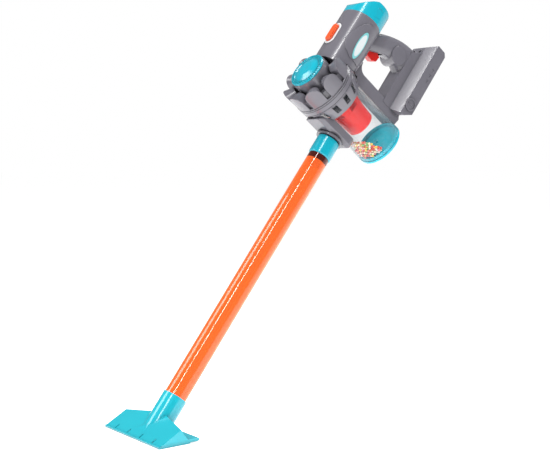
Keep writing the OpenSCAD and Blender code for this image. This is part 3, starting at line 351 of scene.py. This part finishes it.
def loose_boxes(node):
    """Low and high corner of every separate solid in a node."""
    merged_copy(node, "places", 0.02)
    bpy.ops.mesh.separate(type="LOOSE")
    bpy.ops.object.mode_set(mode="OBJECT")
    boxes = []
    for solid in list(bpy.context.selected_objects):
        corners = [Vector(corner) for corner in solid.bound_box]
        boxes.append((corners[0], corners[6]))
        bpy.data.objects.remove(solid)
    return sorted(boxes, key=lambda box: tuple(box[0]))


bead_places = [(low + high) / 2 for low, high in loose_boxes("beads")]
print("found", len(bead_places), "beads")

# %% Model one bead
bead_radius = 0.0019
bpy.ops.mesh.primitive_ico_sphere_add(subdivisions=2, radius=bead_radius, location=(0, 0, 0))
first_bead = bpy.context.active_object
first_bead.name = "bead_heap"
bpy.ops.object.mode_set(mode="EDIT")
bpy.ops.mesh.select_all(action="DESELECT")
bpy.ops.object.mode_set(mode="OBJECT")
for corner in first_bead.data.vertices:
    corner.select = corner.co.z > 0.97 * bead_radius
bpy.ops.object.mode_set(mode="EDIT")
bpy.ops.transform.translate(value=(0, 0, -0.0004))
bpy.ops.object.mode_set(mode="OBJECT")
bpy.ops.object.shade_smooth()
print("one bead has", len(first_bead.data.polygons), "faces")

# %% Copy the bead to every place
bead_colours = ["#e0443a", "#f08a8c", "#f2d25c", "#8cc46a", "#f4efe6", "#f6c9b4", "#e86a4a", "#f7efc9"]
draw = random.Random(12)
heap = []
for place in bead_places:
    one = first_bead.copy()
    one.data = first_bead.data.copy()
    bpy.context.scene.collection.objects.link(one)
    press = 1 - 0.06 * draw.random()
    roll = Matrix.Rotation(draw.uniform(0, math.tau), 4, "X")
    spin = roll @ Matrix.Rotation(draw.uniform(0, math.tau), 4, "Y")
    one.data.transform(Matrix.Translation(place) @ spin @ Matrix.Diagonal((1, 1, press, 1)))
    tint = one.data.color_attributes.new("bead_tint", "FLOAT_COLOR", "POINT")
    colour = paint(draw.choice(bead_colours))
    for value in tint.data:
        value.color = colour
    heap.append(one)
bpy.data.objects.remove(first_bead)
bpy.ops.object.select_all(action="DESELECT")
for one in heap:
    one.select_set(True)
bpy.context.view_layer.objects.active = heap[0]
bpy.ops.object.join()
bead_heap = bpy.context.active_object
bead_heap.name = "bead_heap"
print("heap has", len(bead_heap.data.polygons), "faces")

# %% Foam finish that reads each bead's colour
foam, foam_shader = new_finish("expanded_polystyrene_beads")
tint_node = add_node(foam, "ShaderNodeVertexColor", {"layer_name": "bead_tint"})
foam_place = add_node(foam, "ShaderNodeTexCoord")
cells = add_node(foam, "ShaderNodeTexVoronoi", values={"Scale": 1000 / 0.8},
                 links={"Vector": (foam_place, "Object")})
foam_bump = add_node(foam, "ShaderNodeBump", values={"Strength": 0.25, "Distance": 0.0002},
                     links={"Height": (cells, "Distance")})
foam.node_tree.links.new(tint_node.outputs["Color"], foam_shader.inputs["Base Color"])
foam.node_tree.links.new(foam_bump.outputs["Normal"], foam_shader.inputs["Normal"])
foam_shader.inputs["Roughness"].default_value = 0.5
bead_heap.data.materials.clear()
bead_heap.data.materials.append(foam)
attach(bead_heap, "hand_unit")
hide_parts("beads")
bpy.ops.object.select_all(action="DESELECT")
print("beads painted in", len(bead_colours), "colours")

# %% [markdown]
# ## Rounded edges
# A mould cannot fill a sharp corner, and the edges of a toy are rounded on purpose so that they are kind to
# small hands. The pieces that a child holds and the ones that stand out in the light get that rounding in
# their shape. The solid is copied, its doubled corners are merged and its flat faces joined, and a bevel
# rounds every edge that turns more than a third of a right angle. On the housing halves, the rear cap and
# the floor head some edges are short, which holds the bevel to a trace, so there the even shading does most
# of the softening. The floor head keeps its faces apart, because its ribs break up the front panel.

# %% Round the edges of a solid
rounded = {}


def soften(node, body, width_mm, segments=2, limited=True, join_flats=True):
    """Copy a solid, round its edges and let the copy stand in for it; limited stops where edges are short."""
    piece = merged_copy(node, "rounded_" + node, 0.1)
    if join_flats:
        bpy.ops.mesh.dissolve_limited(angle_limit=math.radians(1))
    bpy.ops.object.mode_set(mode="OBJECT")
    rounding = piece.modifiers.new("rounding", "BEVEL")
    rounding.width = width_mm / 1000
    rounding.segments = segments
    rounding.limit_method = "ANGLE"
    rounding.angle_limit = math.radians(30 if limited else 40)
    rounding.use_clamp_overlap = limited
    bpy.ops.object.modifier_apply(modifier="rounding")
    bpy.ops.object.shade_smooth_by_angle(angle=math.radians(28))
    evening = piece.modifiers.new("evening", "WEIGHTED_NORMAL")
    evening.weight = 100
    evening.keep_sharp = True
    bpy.ops.object.modifier_apply(modifier="evening")
    bpy.ops.object.select_all(action="DESELECT")
    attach(piece, body)
    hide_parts(node)
    rounded[node] = piece
    print(piece.name, "has", len(piece.data.polygons), "faces")
    return piece


soften("floor_head", "head", 0.6, join_flats=False)
soften("wand_tube", "wand", 0.3)
soften("wand_collar", "wand", 0.6)
soften("clear_bin", "hand_unit", 0.2).visible_shadow = False
soften("inlet_neck", "hand_unit", 0.5)
soften("cyclone_crown", "hand_unit", 0.5, limited=False)
soften("body_left", "hand_unit", 0.4)
soften("body_right", "hand_unit", 0.4)
soften("rear_cap", "hand_unit", 0.6)
soften("bin_band", "hand_unit", 0.4, limited=False)
soften("inlet_duct", "hand_unit", 0.8)
soften("power_button", "button", 0.7, segments=3)
soften("trigger", "trigger", 0.6, limited=False)

# %% [markdown]
# ## Screws
# Five self-tapping screws hold the two grey halves together, put in from the left side. Their heads take
# a cross driver. One driver tip is modelled as a bar that is copied and turned a quarter, and it is pressed
# into the head of each screw.

# %% Model the driver tip
bpy.ops.mesh.primitive_cube_add(size=1, location=(0, 0, 0))
driver_tip = bpy.context.active_object
bpy.ops.object.mode_set(mode="EDIT")
bpy.ops.mesh.select_all(action="SELECT")
bpy.ops.transform.resize(value=(0.0024, 0.0032, 0.0008))
bpy.ops.mesh.duplicate()
bpy.ops.transform.rotate(value=math.radians(90), orient_axis="X", center_override=(0, 0, 0))
bpy.ops.object.mode_set(mode="OBJECT")
print("driver tip has", len(driver_tip.data.polygons), "faces")

# %% Press the cross into each screw
heads = [Vector((low.x, (low.y + high.y) / 2, (low.z + high.z) / 2))
         for low, high in loose_boxes("body_screws")]
screws = merged_copy("body_screws", "cross_head_screws", 0.01)
bpy.ops.object.mode_set(mode="OBJECT")
for place in heads:
    tip = driver_tip.copy()
    tip.data = driver_tip.data.copy()
    tip.data.transform(Matrix.Translation(place))
    bpy.context.scene.collection.objects.link(tip)
    press = screws.modifiers.new("press", "BOOLEAN")
    press.operation = "DIFFERENCE"
    press.use_self = True
    press.object = tip
    bpy.ops.object.modifier_apply(modifier="press")
    bpy.data.objects.remove(tip)
bpy.data.objects.remove(driver_tip)
bpy.ops.object.shade_smooth_by_angle(angle=math.radians(28))
bpy.ops.object.select_all(action="DESELECT")
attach(screws, "hand_unit")
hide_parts("body_screws")
rounded["body_screws"] = screws
print(len(heads), "screws have", len(screws.data.polygons), "faces")

# %% [markdown]
# ## Dress the solids
# Every solid whose shape is right keeps it, and only changes its material.

# %% Give each solid its finish
finishes = {
    grey_abs: ["inlet_neck", "inlet_duct", "cyclone_crown", "bin_band", "body_left", "body_right",
               "battery_door", "pivot_caps"],
    cyan_abs: ["wand_collar", "crown_cap", "rear_cap"],
    head_abs_painted_sheen: ["floor_head"],
    dish_abs: ["bin_base"],
    wand_styrene: ["wand_tube"],
    bin_styrene: ["clear_bin"],
    shroud_styrene: ["shroud"],
    red_abs: ["trigger"],
    orange_abs: ["power_button"],
    white_abs: ["button_bezel", "fan", "beads"],
    plate_print: ["side_plates"],
    black_abs: ["button_switch", "speaker", "trigger_switch", "battery_tray"],
    laminate: ["sound_board"],
    cell_wrap: ["battery_cells"],
    plated: ["fan_motor", "base_pin", "trigger_pin", "contact_springs", "contact_plates", "door_screw",
             "body_screws"],
}
for material, nodes in finishes.items():
    for node in nodes:
        for shape in [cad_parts[node]] + ([rounded[node]] if node in rounded else []):
            shape.data.materials.clear()
            shape.data.materials.append(material)
print("dressed", sum(len(nodes) for nodes in finishes.values()), "solids")

# %% [markdown]
# ## Floor and light
# The photograph was taken on seamless white, under broad soft light. A pale floor that glows a little, as
# a lit paper roll does, three large lamps and one long strip beside the wand give the same soft faces and
# the same bright line along the wand and the barrel.
# The surround is seen as white, while the light that it throws on the toy is dimmer, so that the colours
# keep their depth.

# %% Pale floor
bpy.ops.mesh.primitive_plane_add(size=30, location=(0, 0, 0))
floor = bpy.context.active_object
floor.name = "studio_floor"
floor_paper, floor_shader = new_finish("white_paper_roll")
floor_shader.inputs["Base Color"].default_value = paint("#f4f4f4")
floor_shader.inputs["Roughness"].default_value = 0.9
floor_shader.inputs["Emission Color"].default_value = paint("#ffffff")
floor_shader.inputs["Emission Strength"].default_value = 0.78
floor.data.materials.append(floor_paper)
print("floor laid")

# %% Soft studio light
def softbox(name, place, target, width, length, watts):
    """A lamp of a width and length in metres that faces a target, its length along the wand."""
    lamp = bpy.data.lights.new(name, "AREA")
    lamp.shape = "RECTANGLE"
    lamp.size = width
    lamp.size_y = length
    lamp.energy = watts
    holder = bpy.data.objects.new(name, lamp)
    back = (Vector(place) - Vector(target)).normalized()
    side = along_wand.cross(back).normalized()
    turn = Matrix((side, back.cross(side), back)).transposed()
    holder.matrix_world = Matrix.Translation(place) @ turn.to_4x4()
    bpy.context.scene.collection.objects.link(holder)


middle = (0, 0.24, 0.32)
softbox("top_softbox", (0.1, 1.0, 1.9), middle, 0.9, 0.9, 31)
softbox("strip_softbox", (0.9, -0.9, 1.9), middle, 0.18, 1.8, 26)
softbox("front_softbox", (1.3, -1.5, 0.9), middle, 0.6, 0.6, 4)
softbox("side_softbox", (-0.9, -0.9, 1.5), middle, 0.8, 0.8, 12)
surround = bpy.data.worlds.new("white_surround")
surround.use_nodes = True
backdrop = surround.node_tree.nodes["Background"]
backdrop.inputs["Color"].default_value = (1, 1, 1, 1)
seen = surround.node_tree.nodes.new("ShaderNodeLightPath")
either = surround.node_tree.nodes.new("ShaderNodeMath")
either.operation = "MAXIMUM"
level = surround.node_tree.nodes.new("ShaderNodeMapRange")
level.inputs["To Min"].default_value = 0.24
level.inputs["To Max"].default_value = 1.0
surround.node_tree.links.new(seen.outputs["Is Camera Ray"], either.inputs[0])
surround.node_tree.links.new(seen.outputs["Is Transmission Ray"], either.inputs[1])
surround.node_tree.links.new(either.outputs["Value"], level.inputs["Value"])
surround.node_tree.links.new(level.outputs["Result"], backdrop.inputs["Strength"])
bpy.context.scene.world = surround
bpy.context.scene.view_settings.view_transform = "Standard"
print("lamps hung")
